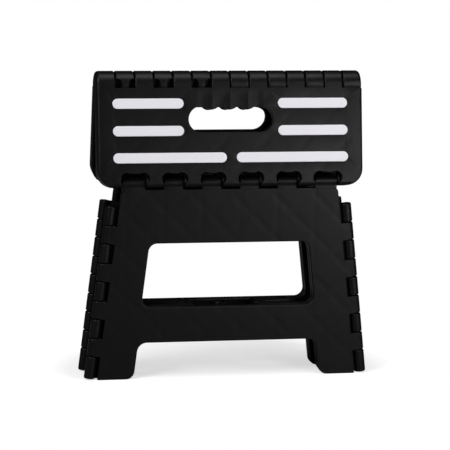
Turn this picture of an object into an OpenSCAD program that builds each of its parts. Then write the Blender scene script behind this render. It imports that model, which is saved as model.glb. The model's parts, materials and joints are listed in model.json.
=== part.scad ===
// Folding step stool, folded flat and standing on its feet.
// Two top panels, two leg panels and four end halves, all ribbed mouldings
// with snap-in knuckle hinges, and twelve anti-slip strips.
// Millimetres. X is the width, the front face looks along -Y, Z is up.

/* [Overall size] */
// Width over the corner hinges at the floor
base_w = 295; // [280:1:310]
// Thickness of the folded stool over both leg panels
folded_t = 50; // [48:0.5:53]
// Height of the hinges between the top and the legs
leg_hinge_z = 200.7; // [196:0.1:215]
// Rise from those hinges to the centre hinge when folded
half_rise = 97.7; // [96:0.1:100]
// Inward lean of the corner hinges for each unit of height
side_slope = 0.1167; // [0.10:0.005:0.13]

/* [Top panels] */
// Width of the top
top_w = 273; // [268:1:276]
// Thickness of the top's skin
top_skin = 3; // [2.4:0.2:3.6]
// Depth of the top's rim and ribs below its face
top_depth = 15.5; // [14.5:0.25:15.75]
// Thickness of the top's rim walls
top_wall = 2.6; // [2:0.2:3]
// Radius of the top's outer corners
top_corner_r = 18; // [12:1:22]
// Depth of the leg hinge axis below the top's face
leg_axis_depth = 12; // [11:0.25:12.75]
// Radius of the rounded teeth round the leg hinge axis
tooth_r = 5.2; // [4.8:0.1:5.6]
// Radius of the rounded edge between a tooth and the face
tooth_edge_r = 4.5; // [2:0.5:5]

/* [Centre hinge] */
// Radius of the centre hinge's barrels
centre_r = 13; // [12.25:0.25:13.5]
// Number of barrels along the centre hinge
centre_count = 14; // [10:2:16]
// Gap between neighbouring barrels
centre_gap = 0.8; // [0.4:0.1:1.2]
// Radial gap between a barrel and the panel that it turns in
centre_clear = 0.9; // [0.4:0.1:1.2]
// Radius of the centre hinge's stub pins
centre_pin_r = 4; // [3:0.25:5]
// Width of each pocket beside a pinned barrel's neck
pocket_w = 5.7; // [4.7:0.1:6.5]
// Height of the pockets' upper edge above the centre axis
pocket_top = 5.75; // [3:0.25:7]
// Radius of the pockets' upper inner corner
pocket_corner_r = 4.5; // [2:0.25:4.5]
// Thickness left between the pockets and the centre axis
pocket_floor = 5.5; // [5:0.25:7]

/* [Handle slot] */
// Length of the slot
slot_l = 87; // [80:1:96]
// Width of the slot
slot_w = 26; // [24:0.5:28]
// Distance from the centre axis down to the slot's middle
slot_drop = 37; // [36:0.5:40]
// How much lower the back panel's slot is set, away from the centre axis
back_slot_lower = 3; // [0:0.5:6]
// Depth of the wall round the slot, from the top's face
slot_rim = 8; // [5:0.5:14]
// Places of the finger bumps along the slot
bump_x = [-19, 0, 18];
// How far a finger bump stands into the slot
bump_h = 3; // [1:0.5:4]
// Radius of a finger bump
bump_r = 8; // [6:0.5:12]

/* [Anti-slip strips] */
// Width of a strip
strip_w = 10.2; // [8:0.2:12]
// Thickness of a strip
strip_t = 1; // [0.8:0.1:1.4]
// Depth of the recess that a strip is set in
strip_sink = 0.6; // [0.4:0.1:0.8]
// Gap round a strip in its recess
strip_clear = 0.15; // [0.05:0.05:0.3]
// Distance from the top's side edges to the strips' outer ends
strip_margin = 15.8; // [10:0.1:21]
// Distance from the middle to the long strips' inner ends
long_strip_inner = 5.1; // [3:0.1:12]
// Distance from the middle to the short strips' inner ends
short_strip_inner = 48.5; // [46:0.5:56]
// Distances of the strips from the centre axis, upper to lower
strip_drop = [21, 48.5, 75.5];

/* [Leg panels] */
// Height of the leg panels' upper edge
leg_top_z = 194.2; // [190:0.2:195]
// Thickness of the leg panels' skin
leg_skin = 2.8; // [2.2:0.2:3.2]
// Depth of the leg panels' rim and ribs
leg_depth = 7.5; // [6.5:0.25:7.5]
// Thickness of the leg panels' rim walls
leg_wall = 2.5; // [2:0.1:3]
// Distance from the corner axis to the leg's edge beside it
leg_notch = 7.75; // [7:0.25:8.5]
// Distance from the corner axis to the leg's side rim
leg_rim_in = 9.5; // [9:0.25:11]
// Radius of the leg's upper corners
leg_corner_r = 5; // [3:0.5:8]

/* [Window and arch] */
// Height of the window's lower edge
window_z0 = 73.6; // [66:0.2:80]
// Height of the window's upper edge
window_z1 = 139.2; // [130:0.2:146]
// Half width of the window at its lower edge
window_half = 90; // [80:1:92]
// Radius of the window's corners
window_r = 9; // [6:0.5:12]
// Height of the arch between the feet
arch_z = 37.5; // [30:0.5:42]
// Half width of the arch at the floor
arch_half = 97; // [90:1:99]
// Radius of the arch's corners
arch_r = 10; // [7:0.5:12]
// Radius of the feet's inner lower corners
foot_r = 9; // [5:0.5:10]

/* [Leg hinges] */
// Radius of the leg hinges' barrels
leg_barrel_r = 5.5; // [5:0.1:5.5]
// Places of the leg barrels, each from its inner to its outer end
leg_barrels = [[9.75, 29.25], [48.75, 68.25], [87.75, 110.5]];
// Gap between a leg barrel and the tooth beside it
leg_gap = 0.8; // [0.4:0.1:1.2]
// Gap over a leg barrel in its notch
notch_over = 3; // [2:0.25:4]
// How far the web under a leg barrel is set back from the front face
web_back = 1.2; // [0.4:0.1:2]
// How far inside its axis a barrel's flat front runs out into the round
barrel_bite = 1.2; // [0.8:0.1:2]
// Radius of the leg hinges' stub pins
leg_pin_r = 2.5; // [2:0.1:3]
// Radius of the rounded cut-outs in the teeth beside each leg barrel
dish_r = 6.5; // [5.5:0.25:7.5]
// How far those cut-outs reach into a tooth
dish_in = 2.8; // [1.5:0.1:3.2]
// Height of their middles above the leg hinge axis, along the face
dish_rise = 3; // [1:0.5:4]

/* [Corner hinges] */
// Radius of the corner hinges' barrels
corner_r = 5.5; // [5:0.1:5.5]
// Height of the lowest leg barrel above the floor
corner_first = 24.3; // [22:0.1:26]
// Length of a leg barrel along the corner
corner_leg_l = 18.6; // [17:0.2:19.4]
// Length of an end half's barrel along the corner
corner_end_l = 19.8; // [18:0.2:20.4]
// Number of leg barrels along a corner
corner_count = 4; // [3:1:4]
// Length of the uppermost end barrel
corner_upper_l = 19.5; // [18:0.5:24]
// Gap between neighbouring barrels
corner_gap = 0.6; // [0.4:0.1:1]
// Radial gap between a leg barrel and the end half
corner_clear = 0.7; // [0.5:0.1:1]
// Radius of the corner hinges' stub pins
corner_pin_r = 2.4; // [2:0.1:3]

/* [End halves] */
// Thickness of the end halves' skin
end_skin = 2.8; // [2.2:0.2:2.8]
// Thickness of the end halves' rim walls
end_wall = 2.5; // [2:0.1:3]
// Height of the end halves above the floor
end_lift = 1.1; // [1:0.1:3]
// Gap between the end halves' ribs and the leg's ribs
end_clear = 0.5; // [0.4:0.1:1]
// Half the gap between two end halves at their hinge
end_edge_gap = 0.3; // [0.2:0.1:0.6]
// Radius of the end hinges' barrels
end_barrel_r = 5.2; // [4.8:0.1:5.6]
// Gap between neighbouring end barrels
end_gap = 0.6; // [0.4:0.1:1]
// Radius of the end hinges' stub pins
end_pin_r = 2.2; // [1.8:0.1:2.8]

/* [Ribs and fits] */
// Thickness of a rib
rib_t = 1.8; // [1.2:0.1:2.4]
// Distance between neighbouring ribs
rib_pitch = 30; // [24:1:40]
// Radial clearance of a stub pin in its socket
pin_clear = 0.08; // [0.05:0.01:0.1]
// Length of a stub pin inside its socket
pin_seat = 3; // [2:0.25:4]
// Extra depth of a socket past its pin
socket_extra = 0.5; // [0.3:0.1:1]

/* [Hidden] */
$fn = 64;
black = [0.10, 0.10, 0.11];
white = [0.89, 0.88, 0.90];
// Steps in a rounded corner, and a margin for cuts that pass right through
arc_steps = 8;
over = 1;

// The fold: equal links between the hinges bring the faces flat together
axis_y = folded_t / 2 - leg_barrel_r;
link = sqrt(half_rise * half_rise + axis_y * axis_y);
over_centre = centre_r - leg_axis_depth;
lean = asin(axis_y / link) - asin(over_centre / link);
open_deg = 90 - lean;
link_flat = sqrt(link * link - over_centre * over_centre);

// The corner hinges lean inwards
side_lean = atan(side_slope);
corner_x0 = base_w / 2 - corner_r;
function corner_x(z) = corner_x0 - side_slope * z;
function leg_edge_x(z, inset) = corner_x(z) - (leg_notch + inset) / cos(side_lean);
function along(z) = z / cos(side_lean);

// Top panel in its own frame: Y runs from the leg axis to the centre axis
top_under = leg_axis_depth - top_depth;
tooth_end = top_under > -tooth_r ? 360 + asin(top_under / tooth_r) : 270;
top_low = min(top_under, -tooth_r);
centre_pitch = top_w / centre_count;
centre_notch_r = centre_r + centre_clear;
cavity_y0 = leg_barrel_r + notch_over + top_wall;
cavity_y1 = link_flat - centre_notch_r - top_wall;
slot_r = slot_w / 2;

// End half: distances from the corner axis
end_under = leg_depth - leg_barrel_r + end_clear;
end_top = along(corner_first + corner_count * corner_leg_l
    + (corner_count - 1) * corner_end_l + corner_upper_l);
end_bottom = along(end_lift);

// Points of a corner of radius r at b, coming from a and going to c
function unit(v) = v / norm(v);
function turn(d) = d > 180 ? d - 360 : d < -180 ? d + 360 : d;
function corner_points(a, b, c, r) =
    let (u = unit(a - b), v = unit(c - b), half = acos(u * v) / 2,
        mid = b + unit(u + v) * r / sin(half),
        p = b + u * r / tan(half) - mid, q = b + v * r / tan(half) - mid,
        start = atan2(p[1], p[0]), sweep = turn(atan2(q[1], q[0]) - start))
    [for (k = [0:arc_steps]) mid + r * [cos(start + sweep * k / arc_steps),
        sin(start + sweep * k / arc_steps)]];
// A polygon's points with a radius at each corner, 0 for a sharp one
function rounded(points, radii) = let (n = len(points))
    [for (i = [0:n - 1]) each radii[i] > 0
        ? corner_points(points[(i + n - 1) % n], points[i], points[(i + 1) % n], radii[i])
        : [points[i]]];

// Places of the leg hinge's barrels on both sides, as pairs of X
leg_spans = concat([for (s = leg_barrels) s], [for (s = leg_barrels) [-s[1], -s[0]]]);

// Solid along X between two places, from a section in Y and Z
module along_x(x0, x1) {
    translate([x0, 0, 0]) rotate([90, 0, 90]) linear_extrude(x1 - x0) children();
}

// Round bar along X about the frame's origin
module bar_x(x0, x1, r) {
    translate([x0, 0, 0]) rotate([0, 90, 0]) cylinder(h = x1 - x0, r = r);
}

// Solid along Y between two depths, from an outline in X and Z
module along_y(y0, y1) {
    translate([0, y1, 0]) rotate([90, 0, 0]) linear_extrude(y1 - y0) children();
}

// Rounded slot shape, from end to end along X
module stadium(x0, x1, r) {
    translate([x0 + r, -r]) square([x1 - x0 - 2 * r, 2 * r]);
    translate([x0 + r, 0]) circle(r);
    translate([x1 - r, 0]) circle(r);
}

// Crossed diagonal ribs over a square of the given half size
module lattice(half, height) {
    steps = ceil(half / rib_pitch);
    for (turn_deg = [45, -45], i = [-steps:steps])
        rotate([0, 0, turn_deg])
            translate([-2 * half, i * rib_pitch - rib_t / 2, 0])
                cube([4 * half, rib_t, height]);
}

// Front top panel's frame, set into its folded place
module place_top() {
    translate([0, -axis_y, leg_hinge_z]) rotate([open_deg, 0, 0]) children();
}

// Plan of the top, drawn in by a wall where asked
module top_plan(inset, y0, y1) {
    half = top_w / 2 - inset;
    corner = top_corner_r - inset;
    polygon(rounded([[-half, y0], [half, y0], [half, y1], [-half, y1]],
        [corner, corner, 0, 0]));
}

// Side section of the top, cut back where the two panels would meet
module top_section() {
    meet_y = link_flat + (top_under + over_centre) / tan(lean);
    polygon(concat(
        corner_points([link_flat, leg_axis_depth], [-tooth_r, leg_axis_depth],
            [-tooth_r, 0], tooth_edge_r),
        [for (k = [0:2 * arc_steps]) let (a = 180 + (tooth_end - 180) * k / arc_steps / 2)
            tooth_r * [cos(a), sin(a)]],
        [if (top_under < -tooth_r) [0, top_under], [meet_y - end_clear, top_under],
        [link_flat, -over_centre + end_clear], [link_flat, leg_axis_depth]]));
}

// The slot's outline, moved away from the centre axis by lower
module slot_shape(lower, grow) {
    translate([0, link_flat - slot_drop - lower])
        stadium(-slot_l / 2 - grow, slot_l / 2 + grow, slot_r + grow);
}

module handle_slot(lower) {
    difference() {
        slot_shape(lower, 0);
        for (x = bump_x)
            translate([x, link_flat - slot_drop - lower + slot_r + bump_r - bump_h])
                circle(bump_r);
    }
}

// The slot's way through the panel, wider below the wall round it
module slot_way(lower) {
    translate([0, 0, top_under - over]) {
        linear_extrude(top_depth + 2 * over) handle_slot(lower);
        linear_extrude(top_depth - slot_rim + over) slot_shape(lower, 2 * top_wall);
    }
}

module top_cavity(lower) {
    depth = top_depth - top_skin + over;
    translate([0, 0, top_under - over]) difference() {
        linear_extrude(depth) intersection() {
            top_plan(top_wall, -tooth_r + top_wall, link_flat);
            translate([-top_w / 2, cavity_y0]) square([top_w, cavity_y1 - cavity_y0]);
        }
        translate([0, (cavity_y0 + cavity_y1) / 2, 0]) lattice(top_w / 2, depth);
        translate([0, 0, top_depth - slot_rim + over])
            linear_extrude(slot_rim) slot_shape(lower, top_wall);
    }
}

// Centre hinge: odd barrels from the left belong to this panel
function centre_x(i) = -top_w / 2 + i * centre_pitch;
module centre_barrels() {
    translate([0, link_flat, -over_centre])
        for (i = [0:2:centre_count - 1])
            bar_x(centre_x(i) + (i == 0 ? 0 : centre_gap / 2),
                centre_x(i + 1) - centre_gap / 2, centre_r);
}

module centre_notches() {
    translate([0, link_flat, -over_centre])
        for (i = [1:2:centre_count - 1])
            bar_x(centre_x(i) - centre_gap / 2,
                centre_x(i + 1) + (i == centre_count - 1 ? over : centre_gap / 2),
                centre_notch_r);
}

// Barrels right of the middle carry stub pins, those left of it sockets
module centre_pins() {
    reach = centre_gap + pin_seat;
    translate([0, link_flat, -over_centre])
        for (i = [0:2:centre_count - 1])
            if (centre_x(i) >= centre_pitch / 2)
                bar_x(centre_x(i) + centre_gap / 2 - reach,
                    centre_x(i + 1) - centre_gap / 2 + reach, centre_pin_r);
}

module centre_sockets() {
    depth = pin_seat + socket_extra;
    translate([0, link_flat, -over_centre])
        for (i = [0:2:centre_count - 1])
            if (centre_x(i) < -centre_pitch / 2) {
                if (i > 0)
                    bar_x(centre_x(i) - over, centre_x(i) + centre_gap / 2 + depth,
                        centre_pin_r + pin_clear);
                if (centre_x(i + 1) < -centre_pitch / 2)
                    bar_x(centre_x(i + 1) - centre_gap / 2 - depth, centre_x(i + 1) + over,
                        centre_pin_r + pin_clear);
            }
}

// Pocket at a barrel's left end: upright at the end, rounded over on the inside
module pocket_shape() {
    low = -centre_r - over;
    polygon(rounded([[-over, low], [pocket_w, low], [pocket_w, pocket_top], [-over, pocket_top]],
        [0, 0, pocket_corner_r, 0]));
}

// Pockets beside the neck of each pinned barrel, on the side that folds in
module centre_pockets() {
    translate([0, link_flat, -over_centre]) rotate([-open_deg, 0, 0])
        for (i = [0:2:centre_count - 1])
            if (centre_x(i) >= centre_pitch / 2)
                for (m = [0, 1])
                    translate([centre_x(i + m) + (0.5 - m) * centre_gap, 0, 0])
                        mirror([m, 0, 0])
                            along_y(pocket_floor, centre_r + over) pocket_shape();
}

// Leg hinge in the top: notches for the leg's barrels, sockets for its pins
module leg_notches() {
    for (s = leg_spans)
        translate([s[0] - leg_gap, -tooth_r - over, top_low - over])
            cube([s[1] - s[0] + 2 * leg_gap, tooth_r + over + leg_barrel_r + notch_over,
                leg_axis_depth - top_low + 2 * over]);
}

// Rounded cut-outs from the face down to the pins, beside each leg barrel
module tooth_dishes() {
    for (s = leg_spans, side = [0, 1])
        translate([s[side] + (side == 0 ? -1 : 1) * (leg_gap + dish_in - dish_r), dish_rise,
            leg_pin_r + over])
            cylinder(h = leg_axis_depth, r = dish_r);
}

module leg_sockets() {
    depth = leg_gap + pin_seat + socket_extra;
    for (s = leg_spans) bar_x(s[0] - depth, s[1] + depth, leg_pin_r + pin_clear);
}

// One strip's outline: row 0 is the upper one, side -1 is the left one
function strip_inner(row) = row == len(strip_drop) - 1 ? long_strip_inner : short_strip_inner;
module strip_shape(row, side, grow) {
    x0 = side > 0 ? strip_inner(row) : strip_margin - top_w / 2;
    x1 = side > 0 ? top_w / 2 - strip_margin : -strip_inner(row);
    translate([0, link_flat - strip_drop[row]])
        stadium(x0 - grow, x1 + grow, strip_w / 2 + grow);
}

module strip(row, side) {
    color(white) place_top()
        translate([0, 0, leg_axis_depth - strip_sink])
            linear_extrude(strip_t) strip_shape(row, side, 0);
}

module strip_recesses() {
    translate([0, 0, leg_axis_depth - strip_sink])
        linear_extrude(strip_sink + over)
            for (row = [0:len(strip_drop) - 1], side = [-1, 1])
                strip_shape(row, side, strip_clear);
}

// One top panel in the front one's place, with its slot moved down by lower
module top_panel(lower) {
    color(black) place_top() difference() {
        union() {
            difference() {
                intersection() {
                    translate([0, 0, top_low])
                        linear_extrude(leg_axis_depth - top_low)
                            top_plan(0, -tooth_r, link_flat);
                    along_x(-top_w / 2, top_w / 2) top_section();
                }
                top_cavity(lower);
                centre_notches();
            }
            centre_barrels();
            centre_pins();
        }
        centre_sockets();
        centre_pockets();
        leg_notches();
        tooth_dishes();
        leg_sockets();
        strip_recesses();
        slot_way(lower);
    }
}

module top_front() {
    top_panel(0);
}

module top_back() {
    rotate([0, 0, 180]) top_panel(back_slot_lower);
}

// Leg outline with its arch, drawn in by side at the edges and by inset all round
module leg_plan(side, inset) {
    shift = inset / cos(side_lean);
    z0 = inset;
    z1 = leg_top_z - inset;
    a0 = arch_half + shift - side_slope * z0;
    a1 = arch_half + shift - side_slope * (arch_z + inset);
    outer = [[leg_edge_x(z0, side + inset), z0], [leg_edge_x(z1, side + inset), z1]];
    foot = max(foot_r - inset, 1);
    top_r = max(leg_corner_r - inset, 1);
    polygon(rounded(
        [[-outer[0][0], z0], [-a0, z0], [-a1, arch_z + inset], [a1, arch_z + inset],
        [a0, z0], outer[0], outer[1], [-outer[1][0], z1]],
        [1, foot, arch_r + inset, arch_r + inset, foot, 1, top_r, top_r]));
}

module window_plan(grow) {
    shift = grow / cos(side_lean);
    z0 = window_z0 - grow;
    z1 = window_z1 + grow;
    x0 = window_half + shift + side_slope * grow;
    x1 = x0 - side_slope * (z1 - z0);
    polygon(rounded([[-x0, z0], [x0, z0], [x1, z1], [-x1, z1]],
        [for (i = [0:3]) window_r + grow]));
}

// Front left corner hinge's frame: X runs inwards, Z along the hinge
module place_corner() {
    translate([-corner_x0, -axis_y, 0]) rotate([0, side_lean, 0]) children();
}

// Both front corners
module both_corners() {
    for (m = [0, 1]) mirror([m, 0, 0]) place_corner() children();
}

// Start of the i-th leg barrel along the corner
function corner_start(i) = along(corner_first + i * (corner_leg_l + corner_end_l));

// The tabs that carry the corner barrels, in the leg's outline
module leg_tabs() {
    for (m = [0, 1], i = [0:corner_count - 1])
        mirror([m, 0]) translate([-corner_x0, 0]) rotate(-side_lean)
            translate([barrel_bite, corner_start(i) + corner_gap / 2])
                square([leg_notch + over, along(corner_leg_l) - corner_gap]);
}

module leg_corner_barrels() {
    reach = corner_gap + pin_seat;
    both_corners() for (i = [0:corner_count - 1]) {
        z0 = corner_start(i) + corner_gap / 2;
        h = along(corner_leg_l) - corner_gap;
        translate([0, 0, z0]) cylinder(h = h, r = corner_r);
        translate([0, 0, z0 - reach]) cylinder(h = h + 2 * reach, r = corner_pin_r);
    }
}

module leg_top_barrels() {
    reach = leg_gap + pin_seat;
    for (s = leg_spans) {
        translate([0, -axis_y, leg_hinge_z]) {
            bar_x(s[0], s[1], leg_barrel_r);
            bar_x(s[0] - reach, s[1] + reach, leg_pin_r);
        }
        translate([s[0], -folded_t / 2 + web_back, leg_top_z - leg_wall])
            cube([s[1] - s[0], leg_depth - web_back,
                leg_hinge_z - barrel_bite - leg_top_z + leg_wall]);
    }
}

// Room for the folded end halves' skins, cut from the leg's rim and ribs
module end_rooms() {
    x0 = leg_rim_in - over;
    x1 = half_rise / 2;
    bound = function (x) x * tan(lean) + (over_centre - end_skin) / cos(lean) - end_clear;
    both_corners() translate([0, 0, -leg_top_z / 2]) linear_extrude(2 * leg_top_z)
        polygon([[x0, bound(x0)], [x1, bound(x1)], [x1, folded_t], [x0, folded_t]]);
}

module front_leg() {
    front = -folded_t / 2;
    back = front + leg_depth;
    color(black) {
        difference() {
            union() {
                along_y(front, front + leg_skin) {
                    leg_plan(0, 0);
                    leg_tabs();
                }
                difference() {
                    along_y(front, back) leg_plan(leg_rim_in - leg_notch, 0);
                    end_rooms();
                }
            }
            along_y(front - over, back + over) window_plan(0);
            difference() {
                along_y(front + leg_skin, back + over) difference() {
                    leg_plan(leg_rim_in - leg_notch, leg_wall);
                    window_plan(leg_wall);
                }
                translate([0, back + 2 * over, (window_z0 + window_z1) / 2]) rotate([90, 0, 0])
                    lattice(corner_x0, leg_depth + over);
            }
        }
        leg_corner_barrels();
        leg_top_barrels();
    }
}

module back_leg() {
    rotate([0, 0, 180]) front_leg();
}

// A point of an end half's side section: s runs along its face, t towards the face
function end_point(s, t) = [s * cos(lean) - t * sin(lean), s * sin(lean) + t * cos(lean)];
// Where the back of the skin meets the plane that the ribs end at
end_rib_s = (end_under - (over_centre - end_skin) * cos(lean)) / sin(lean);
end_edge_s = link_flat - end_edge_gap;
// How far along the face's normal that plane lies, at a distance s
function end_rib_t(s) = (end_under - s * sin(lean)) / cos(lean);

module end_section() {
    polygon([
        end_point(0, over_centre),
        end_point(0, over_centre - end_skin),
        end_point(end_rib_s, over_centre - end_skin),
        end_point(end_edge_s, end_rib_t(end_edge_s)),
        end_point(end_edge_s, over_centre)]);
}

module end_cavity_section() {
    s0 = end_rib_s + end_wall;
    s1 = end_edge_s - end_wall;
    polygon([
        end_point(s0, over_centre - end_skin),
        end_point(s1, over_centre - end_skin),
        end_point(s1, end_rib_t(s1) - over),
        end_point(s0, end_rib_t(s0) - over)]);
}

// The arch and all that lies below the end halves, grown by a wall where asked
module end_underside(grow) {
    shift = grow / cos(side_lean);
    z0 = end_lift + grow;
    z1 = arch_z + grow;
    x0 = arch_half + shift - side_slope * z0;
    x1 = arch_half + shift - side_slope * z1;
    foot = max(foot_r - grow, 1);
    polygon(rounded(
        [[-base_w, -base_w], [-base_w, z0], [-x0, z0], [-x1, z1], [x1, z1], [x0, z0],
        [base_w, z0], [base_w, -base_w]],
        [0, 0, foot, arch_r + grow, arch_r + grow, foot, 0, 0]));
}

module end_cavity() {
    difference() {
        place_corner() {
            difference() {
                linear_extrude(end_top - end_wall) end_cavity_section();
                translate([half_rise / 2, folded_t / 2, (end_bottom + end_top) / 2])
                    rotate([90, 0, 0]) lattice(end_top / 2, folded_t);
            }
        }
        along_y(-folded_t / 2, over) {
            window_plan(end_wall);
            end_underside(end_wall);
        }
    }
}

// Ends of the j-th end barrel along the corner, with its gaps
function end_barrel_z0(j) = j == 0 ? end_bottom
    : corner_start(j - 1) + along(corner_leg_l) + corner_gap / 2;
function end_barrel_z1(j) = j == corner_count ? end_top : corner_start(j) - corner_gap / 2;

module corner_end_barrels() {
    for (j = [0:corner_count])
        translate([0, 0, end_barrel_z0(j)])
            cylinder(h = end_barrel_z1(j) - end_barrel_z0(j), r = corner_r);
}

module corner_cutbacks() {
    for (i = [0:corner_count - 1])
        translate([0, 0, end_barrel_z1(i)])
            cylinder(h = end_barrel_z0(i + 1) - end_barrel_z1(i), r = corner_r + corner_clear);
}

module corner_sockets() {
    reach = pin_seat + socket_extra;
    for (i = [0:corner_count - 1])
        translate([0, 0, end_barrel_z1(i) - reach])
            cylinder(h = end_barrel_z0(i + 1) - end_barrel_z1(i) + 2 * reach,
                r = corner_pin_r + pin_clear);
}

// The end hinge's two groups of three barrels, on the lower and the upper bar
function end_axis(z) = (z + half_rise * sin(side_lean)) / cos(side_lean);
end_bars = [[end_axis(arch_z), end_axis(window_z0)], [end_axis(window_z1), end_top]];
function bar_step(bar, k) = bar[0] + (bar[1] - bar[0]) * k / 3;

// Round bars on the end hinge's axis, over its middle or its outer barrels: each is
// drawn in by shrink beside a neighbour and runs past the bar's own ends
module end_bar_cylinders(middle, shrink, past, r) {
    translate([half_rise, axis_y, 0])
        for (bar = end_bars, k = middle ? [1] : [0, 2]) {
            z0 = bar_step(bar, k) + (k == 0 ? -past : shrink);
            z1 = bar_step(bar, k + 1) + (k == 2 ? past : -shrink);
            translate([0, 0, z0]) cylinder(h = z1 - z0, r = r);
        }
}

// Front left end half, with the middle or the outer barrels of the end hinge
module end_half(middle) {
    color(black) difference() {
        union() {
            difference() {
                place_corner() linear_extrude(end_top) end_section();
                along_y(-folded_t / 2, folded_t) {
                    window_plan(0);
                    end_underside(0);
                }
                end_cavity();
                place_corner() {
                    corner_cutbacks();
                    end_bar_cylinders(!middle, -end_gap / 2, 2 * over, end_barrel_r + end_gap);
                }
            }
            place_corner() {
                corner_end_barrels();
                end_bar_cylinders(middle, end_gap / 2, 0, end_barrel_r);
                if (middle)
                    end_bar_cylinders(true, -end_gap / 2 - pin_seat, 0, end_pin_r);
            }
        }
        place_corner() {
            corner_sockets();
            if (!middle)
                end_bar_cylinders(true, -end_gap / 2 - pin_seat - socket_extra, 0,
                    end_pin_r + pin_clear);
        }
    }
}

module left_front_end() {
    end_half(false);
}

module right_back_end() {
    rotate([0, 0, 180]) end_half(false);
}

module right_front_end() {
    mirror([1, 0, 0]) end_half(true);
}

module left_back_end() {
    mirror([0, 1, 0]) end_half(true);
}

module top_front_strip_upper_left() strip(0, -1);
module top_front_strip_upper_right() strip(0, 1);
module top_front_strip_middle_left() strip(1, -1);
module top_front_strip_middle_right() strip(1, 1);
module top_front_strip_lower_left() strip(2, -1);
module top_front_strip_lower_right() strip(2, 1);

// The back panel's strips are the front one's, turned half round
module turned() {
    rotate([0, 0, 180]) children();
}

module top_back_strip_upper_left() turned() strip(0, 1);
module top_back_strip_upper_right() turned() strip(0, -1);
module top_back_strip_middle_left() turned() strip(1, 1);
module top_back_strip_middle_right() turned() strip(1, -1);
module top_back_strip_lower_left() turned() strip(2, 1);
module top_back_strip_lower_right() turned() strip(2, -1);

front_leg();
back_leg();
top_front();
top_back();
left_front_end();
left_back_end();
right_front_end();
right_back_end();
top_front_strip_upper_left();
top_front_strip_upper_right();
top_front_strip_middle_left();
top_front_strip_middle_right();
top_front_strip_lower_left();
top_front_strip_lower_right();
top_back_strip_upper_left();
top_back_strip_upper_right();
top_back_strip_middle_left();
top_back_strip_middle_right();
top_back_strip_lower_left();
top_back_strip_lower_right();
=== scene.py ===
"""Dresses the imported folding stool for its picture.

The panels are rounded copies of the CAD panels in black moulded plastic, the anti-slip
strips are new crowned surfaces, and the stage is a pale floor under soft studio light.
All is in metres, in the CAD's own frame: X is the width, the front looks along -Y, Z is up.
"""

import json
import math

import bmesh
import bpy
import numpy as np
from bpy.props import FloatProperty, FloatVectorProperty, PointerProperty
from mathutils import Matrix, Vector

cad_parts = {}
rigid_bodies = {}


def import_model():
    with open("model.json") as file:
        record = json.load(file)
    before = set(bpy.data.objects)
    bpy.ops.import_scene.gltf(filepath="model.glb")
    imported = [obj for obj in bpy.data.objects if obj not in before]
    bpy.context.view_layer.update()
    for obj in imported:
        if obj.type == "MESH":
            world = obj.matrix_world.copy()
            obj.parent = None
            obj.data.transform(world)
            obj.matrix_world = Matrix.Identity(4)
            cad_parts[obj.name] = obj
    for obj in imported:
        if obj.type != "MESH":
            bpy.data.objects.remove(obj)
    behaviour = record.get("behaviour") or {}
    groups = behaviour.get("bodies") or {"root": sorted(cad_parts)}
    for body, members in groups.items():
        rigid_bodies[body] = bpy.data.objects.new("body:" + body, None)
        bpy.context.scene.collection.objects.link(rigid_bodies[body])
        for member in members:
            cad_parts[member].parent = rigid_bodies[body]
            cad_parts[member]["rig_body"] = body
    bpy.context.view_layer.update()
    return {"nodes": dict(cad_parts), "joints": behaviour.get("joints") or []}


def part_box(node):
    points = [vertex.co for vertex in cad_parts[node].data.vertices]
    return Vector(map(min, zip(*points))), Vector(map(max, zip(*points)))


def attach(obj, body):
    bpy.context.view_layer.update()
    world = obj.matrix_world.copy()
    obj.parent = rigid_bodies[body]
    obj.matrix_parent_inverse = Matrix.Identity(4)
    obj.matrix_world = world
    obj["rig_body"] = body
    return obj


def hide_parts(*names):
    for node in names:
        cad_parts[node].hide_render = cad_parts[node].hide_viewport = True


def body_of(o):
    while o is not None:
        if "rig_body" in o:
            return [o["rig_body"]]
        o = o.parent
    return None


bl_info = {
    "name": "Folding Stool",
    "version": (1, 0, 0),
    "blender": (4, 5, 0),
    "location": "View3D > Sidebar > Stool",
    "description": "Dresses a folding step stool in moulded plastic with anti-slip strips",
    "category": "Object",
}

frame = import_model()

MM = 0.001
TOPS = ("top_front", "top_back")
LEGS = ("front_leg", "back_leg")
ENDS = ("left_front_end", "left_back_end", "right_front_end", "right_back_end")


def hinge(name):
    """The record's joint of that name."""
    return next(j for j in frame["joints"] if j["name"] == name)


# The front top panel's own frame: along is its direction from the leg hinge to the
# centre hinge, face is its outward normal, and both turn half round for the back panel.
TOP_HINGE = np.array(hinge("top_front_hinge")["pos_m"])
CENTRE_Z = hinge("centre_hinge")["pos_m"][2]
OPENING = math.radians(hinge("top_front_hinge")["range_deg"][1])
ALONG = np.array([0, math.cos(OPENING), math.sin(OPENING)])
FACE = np.array([0, -math.sin(OPENING), math.cos(OPENING)])
HALF_TURN = np.diag([-1.0, -1.0, 1.0])
CENTRE_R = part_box("top_front")[1].z - CENTRE_Z
LINK = math.hypot(CENTRE_Z - TOP_HINGE[2], TOP_HINGE[1])
# Radius of the barrels at the corners and between the top and the legs
BARREL_R = abs(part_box("front_leg")[0].y) - abs(TOP_HINGE[1])
# The window's edges lie within this half width and between these heights, and an end
# half's lie past WINDOW_END
WINDOW_HALF = 90.5 * MM
WINDOW_LOW = 73.1 * MM
WINDOW_HIGH = 139.7 * MM
WINDOW_END = 31 * MM
# The top's lower corners lie within this of its sides and this high over the leg hinge
CORNER_WIDTH = 18.1 * MM
CORNER_HIGH = 13 * MM
# Degrees from the side over which the wide rounding tapers off round a corner
CORNER_TAPER = 75
# Degrees from the face, over the centre barrels, between which it tapers off on them, and
# past which they run into the face again
BARREL_TAPER = (120, 230)
BARREL_FRONT = 300
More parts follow.
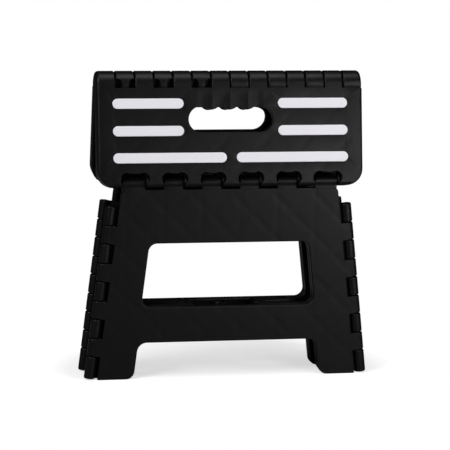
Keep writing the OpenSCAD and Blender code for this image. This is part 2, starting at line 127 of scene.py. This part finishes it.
# Points nearer than SAME are one, and edges nearer than ON_LINE to a line lie on it
SAME = 0.002 * MM
ON_LINE = 0.05 * MM
ON_BARREL = 0.06 * MM
# Faces turned less than FLAT are joined, and edges turned more than SHARP are rounded
FLAT = math.radians(0.5)
SHARP = math.radians(33)
# Heights at which the ribs behind the skin cross on the middle line
TOP_RIBS = 249.5 * MM
LEG_RIBS = 106.4 * MM
END_RIBS = 91.3 * MM
# Crown of a strip's face, and height of the small bevel round its foot
STRIP_CROWN = 0.04 * MM
STRIP_FOOT = 0.1 * MM
# Each light's name and its setting for power, its width, its place and its aim
LIGHTS = (
    ("overhead", "overhead_power", 0.8, (0.15, -0.35, 1.6), (0, 0, 0.1)),
    ("left", "left_power", 1.0, (-1.5, -1.1, 1.4), (0, 0, 0.15)),
    ("right", "right_power", 0.4, (0.5, -0.82, 0.28), (0.08, 0, 0.19)),
)


class PlasticSettings(bpy.types.PropertyGroup):
    """Black moulded plastic and the rounding of its edges."""

    colour: FloatVectorProperty(
        name="Plastic Colour",
        description="Base colour of the black plastic",
        subtype="COLOR",
        size=3,
        min=0,
        max=1,
        default=(0.002, 0.002, 0.002),
    )
    roughness: FloatProperty(
        name="Roughness",
        description="Mean roughness of the moulded faces",
        subtype="FACTOR",
        min=0,
        max=1,
        default=0.42,
    )
    roughness_spread: FloatProperty(
        name="Roughness Spread",
        description="Difference in roughness between the mottle's patches",
        subtype="FACTOR",
        min=0,
        max=1,
        default=0.16,
    )
    gloss: FloatProperty(
        name="Gloss",
        description="Strength of the plastic's mirror reflection",
        subtype="FACTOR",
        min=0,
        max=1,
        default=0.18,
    )
    grain_size: FloatProperty(
        name="Grain Size",
        description="Size of the fine moulded grain",
        unit="LENGTH",
        default=1.1 * MM,
    )
    grain_depth: FloatProperty(
        name="Grain Depth",
        description="Depth of the fine moulded grain",
        unit="LENGTH",
        default=0.012 * MM,
    )
    sink_depth: FloatProperty(
        name="Sink Depth",
        description="Depth of the shallow marks over the ribs",
        unit="LENGTH",
        default=0.095 * MM,
    )
    upright_depth: FloatProperty(
        name="Upright Depth",
        description="Depth of the shallow marks below the leg's barrels",
        unit="LENGTH",
        default=0.055 * MM,
    )
    scoop_depth: FloatProperty(
        name="Scoop Depth",
        description="Depth of the finger scoops above the slot",
        unit="LENGTH",
        default=0.35 * MM,
    )
    edge_radius: FloatProperty(
        name="Edge Radius",
        description="Rounding of the panels' plain edges",
        unit="LENGTH",
        default=0.4 * MM,
    )
    window_radius: FloatProperty(
        name="Window Edge Radius",
        description="Rounding of the edges round the legs' window",
        unit="LENGTH",
        default=1.15 * MM,
    )
    barrel_radius: FloatProperty(
        name="Barrel Edge Radius",
        description="Rounding of the ends of the hinges' barrels",
        unit="LENGTH",
        default=1.3 * MM,
    )
    side_radius: FloatProperty(
        name="Side Edge Radius",
        description="Rounding of the top's outer edges",
        unit="LENGTH",
        default=3.5 * MM,
    )


class StripSettings(bpy.types.PropertyGroup):
    """White anti-slip strips."""

    colour: FloatVectorProperty(
        name="Strip Colour",
        description="Base colour of the anti-slip strips",
        subtype="COLOR",
        size=3,
        min=0,
        max=1,
        default=(0.74, 0.73, 0.77),
    )
    roughness: FloatProperty(
        name="Roughness",
        description="Roughness of the strips",
        subtype="FACTOR",
        min=0,
        max=1,
        default=0.6,
    )
    gloss: FloatProperty(
        name="Gloss",
        description="Strength of the strips' mirror reflection",
        subtype="FACTOR",
        min=0,
        max=1,
        default=0.35,
    )
    edge_radius: FloatProperty(
        name="Edge Radius",
        description="Rounding of a strip's upper edge",
        unit="LENGTH",
        default=0.35 * MM,
    )


class StudioSettings(bpy.types.PropertyGroup):
    """Floor, light and camera."""

    floor_radius: FloatProperty(
        name="Floor Radius",
        description="Radius of the pale floor",
        unit="LENGTH",
        default=6.0,
    )
    floor_bounce: FloatProperty(
        name="Floor Bounce",
        description="Share of the light that the floor sends back to the stool",
        subtype="FACTOR",
        min=0,
        max=1,
        default=0.3,
    )
    floor_tone: FloatProperty(
        name="Floor Tone",
        description="Brightness of the floor's own colour as the camera sees it",
        min=0,
        default=0.85,
    )
    floor_shade: FloatProperty(
        name="Floor Shade",
        description="Depth of the shadows that the camera sees on the floor",
        subtype="FACTOR",
        min=0,
        max=1,
        default=0.62,
    )
    fade_start: FloatProperty(
        name="Fade Start",
        description="Distance from the stool's middle at which the floor begins to fade",
        unit="LENGTH",
        default=1.9 / 12,
    )
    fade_width: FloatProperty(
        name="Fade Width",
        description="Width over which the floor fades into the white room",
        unit="LENGTH",
        default=1 / 12,
    )
    overhead_power: FloatProperty(
        name="Overhead Power",
        description="Power of the soft light over the stool",
        unit="POWER",
        default=10.0,
    )
    left_power: FloatProperty(
        name="Left Power",
        description="Power of the soft light high on the left",
        unit="POWER",
        default=31.0,
    )
    right_power: FloatProperty(
        name="Right Power",
        description="Power of the low soft light at the front right",
        unit="POWER",
        default=4.0,
    )
    surround: FloatProperty(
        name="Surround",
        description="Brightness of the room round the stool",
        min=0,
        default=0.02,
    )
    focal: FloatProperty(
        name="Focal Length",
        description="Camera lens for a 36 mm wide sensor",
        unit="CAMERA",
        default=192.0,
    )
    yaw: FloatProperty(
        name="Yaw",
        description="Turn of the camera about the vertical",
        subtype="ANGLE",
        default=0.2101,
    )
    pitch: FloatProperty(
        name="Pitch",
        description="Downward tilt of the camera",
        subtype="ANGLE",
        default=0.1675,
    )
    roll: FloatProperty(
        name="Roll",
        description="Roll of the camera about its line of sight",
        subtype="ANGLE",
        default=-0.0199,
    )
    target: FloatVectorProperty(
        name="Target",
        description="Point of the leg's front face in the middle of the frame",
        subtype="TRANSLATION",
        size=3,
        default=(-5.395 * MM, TOP_HINGE[1] - 5.5 * MM, 157.38 * MM),
    )
    distance: FloatProperty(
        name="Distance",
        description="Distance from the camera to its target",
        unit="LENGTH",
        default=2.4266,
    )


def settings(name):
    """The scene's settings group of that name."""
    return getattr(bpy.context.scene, name)


def new_group(name, inputs, outputs):
    """An empty shader group with named float inputs, as (name, default), and outputs."""
    group = bpy.data.node_groups.new(name, "ShaderNodeTree")
    for label, value in inputs:
        socket = group.interface.new_socket(label, in_out="INPUT", socket_type="NodeSocketFloat")
        socket.default_value = value
    for label in outputs:
        group.interface.new_socket(label, in_out="OUTPUT", socket_type="NodeSocketFloat")
    return group, group.nodes.new("NodeGroupInput"), group.nodes.new("NodeGroupOutput")


def feed(tree, value, socket):
    """Links a socket to a node's input, or sets the input to a number."""
    if isinstance(value, bpy.types.NodeSocket):
        tree.links.new(value, socket)
    else:
        socket.default_value = value


def maths(tree, operation, *values, clamp=False):
    """A Math node whose inputs are numbers or sockets, and its output socket."""
    node = tree.nodes.new("ShaderNodeMath")
    node.operation = operation
    node.use_clamp = clamp
    for socket, value in zip(node.inputs, values):
        feed(tree, value, socket)
    return node.outputs[0]


def object_axes(tree):
    """The Object coordinates in metres, and their X, Y and Z."""
    place = tree.nodes.new("ShaderNodeTexCoord").outputs["Object"]
    split = tree.nodes.new("ShaderNodeSeparateXYZ")
    tree.links.new(place, split.inputs[0])
    return place, split.outputs


def moulded_grain():
    """Fine grain of a textured mould, as a height, and a mottle in broad patches."""
    group, source, result = new_group(
        "Moulded Grain", [("Size", 0.001), ("Mottle Share", 0.028)], ["Height", "Mottle"])
    place, _ = object_axes(group)
    fine = maths(group, "DIVIDE", 1.0, source.outputs["Size"])
    broad = maths(group, "MULTIPLY", fine, source.outputs["Mottle Share"])
    for label, scale, detail in (("Height", fine, 2.0), ("Mottle", broad, 3.0)):
        noise = group.nodes.new("ShaderNodeTexNoise")
        noise.inputs["Detail"].default_value = detail
        group.links.new(place, noise.inputs["Vector"])
        group.links.new(scale, noise.inputs["Scale"])
        group.links.new(noise.outputs[0], result.inputs[label])


def soft_step(tree, value, width):
    """A smooth step from 1, where a value is 0 or less, down to 0 at the width."""
    step = tree.nodes.new("ShaderNodeMapRange")
    step.interpolation_type = "SMOOTHSTEP"
    step.inputs["To Min"].default_value = 1.0
    step.inputs["To Max"].default_value = 0.0
    feed(tree, value, step.inputs["Value"])
    feed(tree, width, step.inputs["From Max"])
    return step.outputs[0]


def triangle_wave(tree, value, pitch):
    """Distance from a value to the nearest multiple of the pitch."""
    return maths(tree, "PINGPONG", value, maths(tree, "MULTIPLY", pitch, 0.5))


def sink_marks():
    """Shallow dents over crossed diagonal ribs, 0 on plain skin and 1 over a rib.

    The distance to the nearest rib of each direction is a triangle wave of (x + z) or
    (x - z), and a smooth step turns it into a soft dent.
    """
    group, source, result = new_group(
        "Sink Marks", [("Pitch", 0.03), ("Middle", 0.1), ("Width", 0.006)], ["Mask"])
    _, axes = object_axes(group)
    level = maths(group, "SUBTRACT", axes["Z"], source.outputs["Middle"])
    dents = []
    for sign in (1.0, -1.0):
        across = maths(group, "MULTIPLY_ADD", level, sign, axes["X"])
        across = maths(group, "MULTIPLY", across, math.sqrt(0.5))
        near = triangle_wave(group, across, source.outputs["Pitch"])
        dents.append(soft_step(group, near, source.outputs["Width"]))
    group.links.new(maths(group, "MAXIMUM", *dents), result.inputs["Mask"])


def upright_marks():
    """Shallow dents over upright ribs below the leg's barrels, 1 over a rib."""
    group, source, result = new_group(
        "Upright Marks", [("Pitch", 0.039), ("Offset", 0.00975), ("Width", 0.005)], ["Mask"])
    _, axes = object_axes(group)
    across = maths(group, "SUBTRACT", axes["X"], source.outputs["Offset"])
    near = triangle_wave(group, across, source.outputs["Pitch"])
    group.links.new(soft_step(group, near, source.outputs["Width"]), result.inputs["Mask"])


def finger_scoops():
    """Scoops of the grip above the slot, each a parabola t (2 - t) between two creases.

    They fade out sideways past the reach, upwards past the top and below the bottom.
    """
    group, source, result = new_group(
        "Finger Scoops",
        [("Pitch", 0.0185), ("Offset", -0.0005), ("Reach", 0.028), ("Top", 0.286),
         ("Bottom", 0.262)],
        ["Mask"])
    _, axes = object_axes(group)
    pitch = source.outputs["Pitch"]
    across = maths(group, "SUBTRACT", axes["X"], source.outputs["Offset"])
    share = maths(group, "DIVIDE", triangle_wave(group, across, pitch),
                  maths(group, "MULTIPLY", pitch, 0.5))
    mask = maths(group, "MULTIPLY", share, maths(group, "SUBTRACT", 2.0, share))
    beside = maths(group, "SUBTRACT", maths(group, "ABSOLUTE", across), source.outputs["Reach"])
    above = maths(group, "SUBTRACT", axes["Z"], source.outputs["Top"])
    below = maths(group, "SUBTRACT", source.outputs["Bottom"], axes["Z"])
    for past, fade in ((beside, 0.008), (above, 0.01), (below, 0.002)):
        mask = maths(group, "MULTIPLY", mask, soft_step(group, past, fade))
    group.links.new(mask, result.inputs["Mask"])


def dents(tree, name, depth, **values):
    """Depth below the plain skin of a shader group's mask, with the group's inputs set."""
    node = tree.nodes.new("ShaderNodeGroup")
    node.node_tree = bpy.data.node_groups[name]
    for label, value in values.items():
        node.inputs[label].default_value = value
    return maths(tree, "MULTIPLY", node.outputs["Mask"], -depth)


def plastic(name, rib_middle, marks=None, depth=0.0):
    """Black moulded plastic with fine grain and the marks of the ribs behind its skin.

    The marks, where given, name one more shader group whose mask is dented by the depth.
    """
    s = settings("stool_plastic")
    material = bpy.data.materials.new(name)
    material.use_nodes = True
    tree = material.node_tree
    shader = tree.nodes["Principled BSDF"]
    shader.inputs["Base Color"].default_value = (*s.colour, 1)
    shader.inputs["Specular IOR Level"].default_value = s.gloss
    grain = tree.nodes.new("ShaderNodeGroup")
    grain.node_tree = bpy.data.node_groups["Moulded Grain"]
    grain.inputs["Size"].default_value = s.grain_size
    rough = maths(tree, "MULTIPLY_ADD", grain.outputs["Mottle"], s.roughness_spread,
                  s.roughness - s.roughness_spread / 2)
    tree.links.new(rough, shader.inputs["Roughness"])
    height = maths(tree, "MULTIPLY_ADD", grain.outputs["Height"], s.grain_depth,
                   dents(tree, "Sink Marks", s.sink_depth, Middle=rib_middle))
    if marks:
        height = maths(tree, "ADD", height, dents(tree, marks, depth))
    bump = tree.nodes.new("ShaderNodeBump")
    # The heights are in metres already
    bump.inputs["Distance"].default_value = 1.0
    tree.links.new(height, bump.inputs["Height"])
    tree.links.new(bump.outputs["Normal"], shader.inputs["Normal"])
    return material


def strip_material():
    """Smooth matt white of the anti-slip strips."""
    s = settings("stool_strips")
    material = bpy.data.materials.new("White strip")
    material.use_nodes = True
    tree = material.node_tree
    shader = tree.nodes["Principled BSDF"]
    shader.inputs["Base Color"].default_value = (*s.colour, 1)
    shader.inputs["Specular IOR Level"].default_value = s.gloss
    shader.inputs["Roughness"].default_value = s.roughness
    return material


def finish_piece(piece, material, node):
    """Puts a piece in the scene for a CAD node, on the node's body."""
    piece.data.materials.clear()
    piece.data.materials.append(material)
    bpy.context.scene.collection.objects.link(piece)
    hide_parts(node)
    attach(piece, body_of(frame["nodes"][node])[0])


def panel_axes(node):
    """Origin and axes, as columns, of the top panel that a node belongs to."""
    axes = np.column_stack([[1, 0, 0], ALONG, FACE])
    if node.startswith("top_back"):
        return HALF_TURN @ TOP_HINGE, HALF_TURN @ axes
    return TOP_HINGE, axes


def spare_width(edge, face):
    """How far a face reaches from one of its edges."""
    start = edge.verts[0].co
    line = (edge.verts[1].co - start).normalized()
    return max((v.co - start).cross(line).length for v in face.verts)


def off_axis(edge, start, line):
    """Distances of an edge's ends from the axis through start along the unit vector line."""
    return [(v.co - start).cross(line).length for v in edge.verts]


def fall(value, start, end):
    """1 up to the start, 0 past the end, and a straight line between them."""
    return min(1, max(0, (end - value) / (end - start)))


def top_radii(node, edges):
    """Rounding of a top panel's edges: widest at its outer sides.

    It tapers off round the lower corners, before the face curves into the teeth, and round
    the back of the centre barrels.
    """
    s = settings("stool_plastic")
    origin, axes = panel_axes(node)
    inward = Matrix(axes.T.tolist())
    origin = Vector(origin)
    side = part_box(node)[1].x
    centre, across = Vector((0, 0, CENTRE_Z)), Vector((1, 0, 0))
    for edge in edges:
        ends = [inward @ (v.co - origin) for v in edge.verts]
        normals = [inward @ f.normal for f in edge.link_faces]
        outward = max(n.z for n in normals)
        upright = min(abs(n.z) for n in normals) < 0.05
        at_side = all(abs(abs(p.x) - side) < ON_LINE for p in ends)
        in_corner = all(abs(p.x) > side - CORNER_WIDTH and p.y < CORNER_HIGH for p in ends)
        away = off_axis(edge, centre, across)
        on_centre = all(abs(d - CENTRE_R) < ON_BARREL for d in away)
        in_notch = outward > 0.9 and max(abs(n.x) for n in normals) > 0.99
        if at_side and on_centre:
            round_face = min(normals, key=lambda n: abs(n.x))
            turn = math.degrees(math.atan2(round_face.y, round_face.z)) % 360
            share = fall(turn, *BARREL_TAPER) if turn < BARREL_FRONT else 1
            yield s.edge_radius + (s.side_radius - s.edge_radius) * share
        elif at_side and outward > 0.7:
            yield s.side_radius
        elif in_corner and upright and outward > 0.3 and max(p.z for p in ends) > 2 * MM:
            wall = min(normals, key=lambda n: abs(n.z))
            turn = math.degrees(math.atan2(abs(wall.y), abs(wall.x)))
            share = fall(turn, 0, CORNER_TAPER)
            yield s.edge_radius + (s.side_radius - s.edge_radius) * share
        elif on_centre or in_notch and min(away) > 0.95 * CENTRE_R and ends[0].y > 0.9 * LINK:
            yield s.barrel_radius
        else:
            yield s.edge_radius


def leg_radii(node, edges):
    """Rounding of a leg's or end half's edges: wider at its barrels' ends and window."""
    s = settings("stool_plastic")
    low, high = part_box(node)
    axes = [(Vector(j["pos_m"]), Vector(j["axis"]).normalized()) for j in frame["joints"]
            if "corner" in j["name"] and j["pos_m"][1] * (low.y + high.y) > 0]
    inner = 0 if node in LEGS else WINDOW_END
    for edge in edges:
        on_barrel = any(max(abs(d - BARREL_R) for d in off_axis(edge, *axis)) < ON_LINE
                        for axis in axes)
        in_window = all(inner <= abs(v.co.x) < WINDOW_HALF
                        and WINDOW_LOW < v.co.z < WINDOW_HIGH for v in edge.verts)
        if on_barrel:
            yield s.barrel_radius
        elif in_window:
            yield s.window_radius
        else:
            yield s.edge_radius


def rounded_panel(node, material, radii):
    """Puts in a copy of a CAD panel with its points merged and its edges rounded.

    Flat faces are joined before the radii are chosen, and cut into triangles again after
    it, since a rounded face with many corners fills its own openings. Where more than two
    rounded edges meet, only the widest of them stay rounded.
    """
    widest = settings("stool_plastic").side_radius
    shape = bmesh.new()
    shape.from_mesh(frame["nodes"][node].data)
    bmesh.ops.remove_doubles(shape, verts=shape.verts, dist=SAME)
    bmesh.ops.dissolve_limit(shape, angle_limit=FLAT, verts=shape.verts, edges=shape.edges)
    weight = shape.edges.layers.float.new("bevel_weight_edge")
    edges = [e for e in shape.edges if e.is_convex and e.calc_face_angle(0) > SHARP]
    for edge, radius in zip(edges, radii(node, edges)):
        if min(spare_width(edge, f) for f in edge.link_faces) > 2 * radius:
            edge[weight] = radius / widest
    for vertex in shape.verts:
        meeting = [e for e in vertex.link_edges if e[weight] > 0]
        if len(meeting) > 2:
            for edge in meeting:
                if edge[weight] < max(e[weight] for e in meeting):
                    edge[weight] = 0
    bmesh.ops.triangulate(shape, faces=[f for f in shape.faces if len(f.verts) > 4])
    mesh = bpy.data.meshes.new(node + "_rounded")
    shape.to_mesh(mesh)
    shape.free()
    mesh.shade_smooth()
    piece = bpy.data.objects.new(node + "_moulding", mesh)
    finish_piece(piece, material, node)
    bevel = piece.modifiers.new("Round edges", "BEVEL")
    bevel.limit_method = "WEIGHT"
    bevel.width = widest
    bevel.segments = 3
    bevel.use_clamp_overlap = False
    bevel.loop_slide = False
    bevel.miter_outer = "MITER_SHARP"
    flat = piece.modifiers.new("Flat faces", "WEIGHTED_NORMAL")
    flat.keep_sharp = True


def grid_mesh(name, points):
    """A mesh over a grid of points, shape (rows, columns, 3), closed round its columns."""
    rows, columns = points.shape[:2]
    index = np.arange(rows * columns).reshape(rows, columns)
    right = np.roll(index, -1, axis=1)
    quads = np.stack([index[:-1], right[:-1], right[1:], index[1:]], axis=-1).reshape(-1, 4)
    mesh = bpy.data.meshes.new(name)
    mesh.from_pydata(points.reshape(-1, 3), [], quads)
    return mesh


def strip_profile(radius, bottom, top):
    """Distances r from a strip's middle line, and heights, from its underside to its crown.

    r goes from 0 out to the strip's radius over a small bevel, up its side, round a quarter
    circle and back in to 0, where the face has risen by the crown as 1 - (r / radius)^2.
    """
    edge = settings("stool_strips").edge_radius
    quarter = np.radians(np.linspace(0, 90, 7))
    inwards = np.linspace(0.9, 0, 6)
    r = np.concatenate([
        [0, radius - edge, radius],
        radius - edge + edge * np.cos(quarter),
        (radius - edge) * inwards])
    h = np.concatenate([
        [bottom, bottom, bottom + STRIP_FOOT],
        top - edge + edge * np.sin(quarter) - STRIP_CROWN,
        top - STRIP_CROWN * inwards ** 2])
    return r, h


def strip_surface(node):
    """A strip as a closed surface: its profile carried round its outline.

    The outline runs round a middle line of length 2a with round ends: at distance r from
    that line its points are (nearer end of the line) + r (cos t, sin t).
    """
    origin, axes = panel_axes(node)
    data = frame["nodes"][node].data
    points = np.empty(len(data.vertices) * 3)
    data.vertices.foreach_get("co", points)
    local = (points.reshape(-1, 3) - origin) @ axes
    low, high = local.min(0), local.max(0)
    middle = (low + high) / 2
    radius = (high[1] - low[1]) / 2
    reach = (high[0] - low[0]) / 2 - radius
    r, h = strip_profile(radius, low[2], high[2])
    # Half a step off, so that each point belongs to one of the two round ends
    around = 72
    t = (np.arange(around) + 0.5) * math.tau / around
    side = np.where(np.cos(t) > 0, reach, -reach)
    grid = np.empty((len(r), len(t), 3))
    grid[..., 0] = middle[0] + side + r[:, None] * np.cos(t)
    grid[..., 1] = middle[1] + r[:, None] * np.sin(t)
    grid[..., 2] = h[:, None]
    mesh = grid_mesh(node + "_surface", grid @ axes.T + origin)
    shape = bmesh.new()
    shape.from_mesh(mesh)
    bmesh.ops.remove_doubles(shape, verts=shape.verts, dist=SAME / 2)
    bmesh.ops.recalc_face_normals(shape, faces=shape.faces)
    shape.to_mesh(mesh)
    shape.free()
    mesh.shade_smooth()
    return mesh


class STOOL_OT_materials(bpy.types.Operator):
    """Make the shader groups and the plastic and strip materials"""

    bl_idname = "stool.materials"
    bl_label = "Materials"

    def execute(self, context):
        s = settings("stool_plastic")
        moulded_grain()
        sink_marks()
        upright_marks()
        finger_scoops()
        plastic("Black top plastic", TOP_RIBS, "Finger Scoops", s.scoop_depth)
        plastic("Black leg plastic", LEG_RIBS, "Upright Marks", s.upright_depth)
        plastic("Black end plastic", END_RIBS)
        strip_material()
        return {"FINISHED"}


class STOOL_OT_top_panels(bpy.types.Operator):
    """Round the two top panels and give them their plastic"""

    bl_idname = "stool.top_panels"
    bl_label = "Top Panels"

    def execute(self, context):
        for node in TOPS:
            rounded_panel(node, bpy.data.materials["Black top plastic"], top_radii)
        return {"FINISHED"}


class STOOL_OT_leg_panels(bpy.types.Operator):
    """Round the two leg panels and give them their plastic"""

    bl_idname = "stool.leg_panels"
    bl_label = "Leg Panels"

    def execute(self, context):
        for node in LEGS:
            rounded_panel(node, bpy.data.materials["Black leg plastic"], leg_radii)
        return {"FINISHED"}


class STOOL_OT_end_halves(bpy.types.Operator):
    """Round the four end halves and give them their plastic"""

    bl_idname = "stool.end_halves"
    bl_label = "End Halves"

    def execute(self, context):
        for node in ENDS:
            rounded_panel(node, bpy.data.materials["Black end plastic"], leg_radii)
        return {"FINISHED"}


class STOOL_OT_strips(bpy.types.Operator):
    """Make the twelve anti-slip strips"""

    bl_idname = "stool.strips"
    bl_label = "Anti-slip Strips"

    def execute(self, context):
        for node in sorted(n for n in frame["nodes"] if "_strip_" in n):
            piece = bpy.data.objects.new(node + "_pad", strip_surface(node))
            finish_piece(piece, bpy.data.materials["White strip"], node)
        return {"FINISHED"}


def soft_light(name, power, size, place, aim):
    """A square area light at a place, aimed at a point."""
    data = bpy.data.lights.new(name, "AREA")
    data.energy = power
    data.size = size
    light = bpy.data.objects.new(name, data)
    light.location = place
    light.rotation_euler = (Vector(aim) - Vector(place)).to_track_quat("-Z", "Y").to_euler()
    bpy.context.scene.collection.objects.link(light)


def floor_material():
    """Matt pale floor with a glow mixed over it, for the camera alone.

    Over the fade, the glow's share grows from 1 - shade to 1, and its brightness goes from
    shade / (1 - shade) to the room's 1.
    """
    s = settings("stool_studio")
    material = bpy.data.materials.new("Pale floor")
    material.use_nodes = True
    tree = material.node_tree
    tree.nodes.clear()
    seen = tree.nodes.new("ShaderNodeLightPath").outputs["Is Camera Ray"]
    diffuse = tree.nodes.new("ShaderNodeBsdfDiffuse")
    tint = maths(tree, "MULTIPLY_ADD", seen, s.floor_tone - s.floor_bounce, s.floor_bounce)
    tree.links.new(tint, diffuse.inputs["Color"])
    glow = tree.nodes.new("ShaderNodeEmission")
    mix = tree.nodes.new("ShaderNodeMixShader")
    _, axes = object_axes(tree)
    across = maths(tree, "MULTIPLY", axes["X"], axes["X"])
    spread = maths(tree, "SQRT", maths(tree, "MULTIPLY_ADD", axes["Y"], axes["Y"], across))
    fade = maths(tree, "DIVIDE", maths(tree, "SUBTRACT", spread, s.fade_start),
                 s.fade_width, clamp=True)
    share = maths(tree, "MULTIPLY_ADD", fade, s.floor_shade, 1 - s.floor_shade)
    near = s.floor_shade / (1 - s.floor_shade)
    tree.links.new(maths(tree, "MULTIPLY_ADD", fade, 1 - near, near), glow.inputs["Strength"])
    tree.links.new(maths(tree, "MULTIPLY", share, seen), mix.inputs[0])
    tree.links.new(diffuse.outputs[0], mix.inputs[1])
    tree.links.new(glow.outputs[0], mix.inputs[2])
    output = tree.nodes.new("ShaderNodeOutputMaterial")
    tree.links.new(mix.outputs[0], output.inputs["Surface"])
    return material


def pale_floor():
    """A round floor, from its middle out to its radius, that fades into the white room."""
    t = np.radians(np.linspace(0, 360, 96, endpoint=False))
    radii = np.array([0.0, settings("stool_studio").floor_radius])[:, None]
    points = np.stack([radii * np.cos(t), radii * np.sin(t), 0 * radii * t], axis=-1)
    mesh = grid_mesh("floor", points)
    shape = bmesh.new()
    shape.from_mesh(mesh)
    bmesh.ops.remove_doubles(shape, verts=shape.verts, dist=MM)
    shape.to_mesh(mesh)
    shape.free()
    floor = bpy.data.objects.new("floor", mesh)
    bpy.context.scene.collection.objects.link(floor)
    mesh.materials.append(floor_material())


def room():
    """A room that the camera sees as plain white and that lights the stool softly."""
    world = bpy.context.scene.world or bpy.data.worlds.new("Room")
    bpy.context.scene.world = world
    world.use_nodes = True
    tree = world.node_tree
    tree.nodes.clear()
    seen = tree.nodes.new("ShaderNodeLightPath").outputs["Is Camera Ray"]
    surround = settings("stool_studio").surround
    strength = maths(tree, "MULTIPLY_ADD", seen, 1 - surround, surround)
    background = tree.nodes.new("ShaderNodeBackground")
    tree.links.new(strength, background.inputs["Strength"])
    background.inputs["Color"].default_value = (1, 1, 1, 1)
    output = tree.nodes.new("ShaderNodeOutputWorld")
    tree.links.new(background.outputs[0], output.inputs["Surface"])


def photo_camera():
    """The camera, from its yaw, pitch, roll, target and distance.

    It looks along (sin yaw cos pitch, cos yaw cos pitch, -sin pitch); its right and down
    axes are turned by the roll about that line.
    """
    s = settings("stool_studio")
    ahead = np.array([math.sin(s.yaw) * math.cos(s.pitch),
                      math.cos(s.yaw) * math.cos(s.pitch), -math.sin(s.pitch)])
    right = np.array([math.cos(s.yaw), -math.sin(s.yaw), 0])
    down = np.cross(ahead, right)
    turned = right * math.cos(s.roll) + down * math.sin(s.roll)
    lower = down * math.cos(s.roll) - right * math.sin(s.roll)
    data = bpy.data.cameras.new("camera")
    data.lens = s.focal
    data.sensor_width = 36.0
    data.clip_end = 30
    camera = bpy.data.objects.new("camera", data)
    place = Matrix(np.column_stack([turned, -lower, -ahead]).tolist()).to_4x4()
    place.translation = Vector(s.target) - Vector(ahead) * s.distance
    camera.matrix_world = place
    bpy.context.scene.collection.objects.link(camera)
    bpy.context.scene.camera = camera


class STOOL_OT_stage(bpy.types.Operator):
    """Set the floor, the soft lights and the camera"""

    bl_idname = "stool.stage"
    bl_label = "Stage"

    def execute(self, context):
        s = settings("stool_studio")
        context.scene.view_settings.view_transform = "Standard"
        pale_floor()
        room()
        for name, power, size, place, aim in LIGHTS:
            soft_light(name, getattr(s, power), size, place, aim)
        photo_camera()
        return {"FINISHED"}


class STOOL_PT_panel(bpy.types.Panel):
    """Lists the stool's settings and steps"""

    bl_label = "Folding Stool"
    bl_idname = "STOOL_PT_panel"
    bl_space_type = "VIEW_3D"
    bl_region_type = "UI"
    bl_category = "Stool"

    def draw(self, context):
        layout = self.layout
        for group, _ in GROUPS:
            values = getattr(context.scene, group)
            box = layout.box()
            for name in values.bl_rna.properties.keys():
                if name not in ("rna_type", "name"):
                    box.prop(values, name)
        for step in STEPS:
            layout.operator(step.bl_idname)


GROUPS = (
    ("stool_plastic", PlasticSettings),
    ("stool_strips", StripSettings),
    ("stool_studio", StudioSettings),
)
STEPS = (
    STOOL_OT_materials,
    STOOL_OT_top_panels,
    STOOL_OT_leg_panels,
    STOOL_OT_end_halves,
    STOOL_OT_strips,
    STOOL_OT_stage,
)


def register():
    for name, group in GROUPS:
        bpy.utils.register_class(group)
        setattr(bpy.types.Scene, name, PointerProperty(type=group))
    for step in STEPS:
        bpy.utils.register_class(step)
    bpy.utils.register_class(STOOL_PT_panel)


def unregister():
    bpy.utils.unregister_class(STOOL_PT_panel)
    for step in reversed(STEPS):
        bpy.utils.unregister_class(step)
    for name, group in reversed(GROUPS):
        delattr(bpy.types.Scene, name)
        bpy.utils.unregister_class(group)


def main():
    """Registers the add-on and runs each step."""
    for name in ("Cube", "Light", "Camera"):
        if name in bpy.data.objects:
            bpy.data.objects.remove(bpy.data.objects[name])
    register()
    bpy.ops.stool.materials()
    bpy.ops.stool.top_panels()
    bpy.ops.stool.leg_panels()
    bpy.ops.stool.end_halves()
    bpy.ops.stool.strips()
    bpy.ops.stool.stage()


if __name__ == "__main__":
    main()
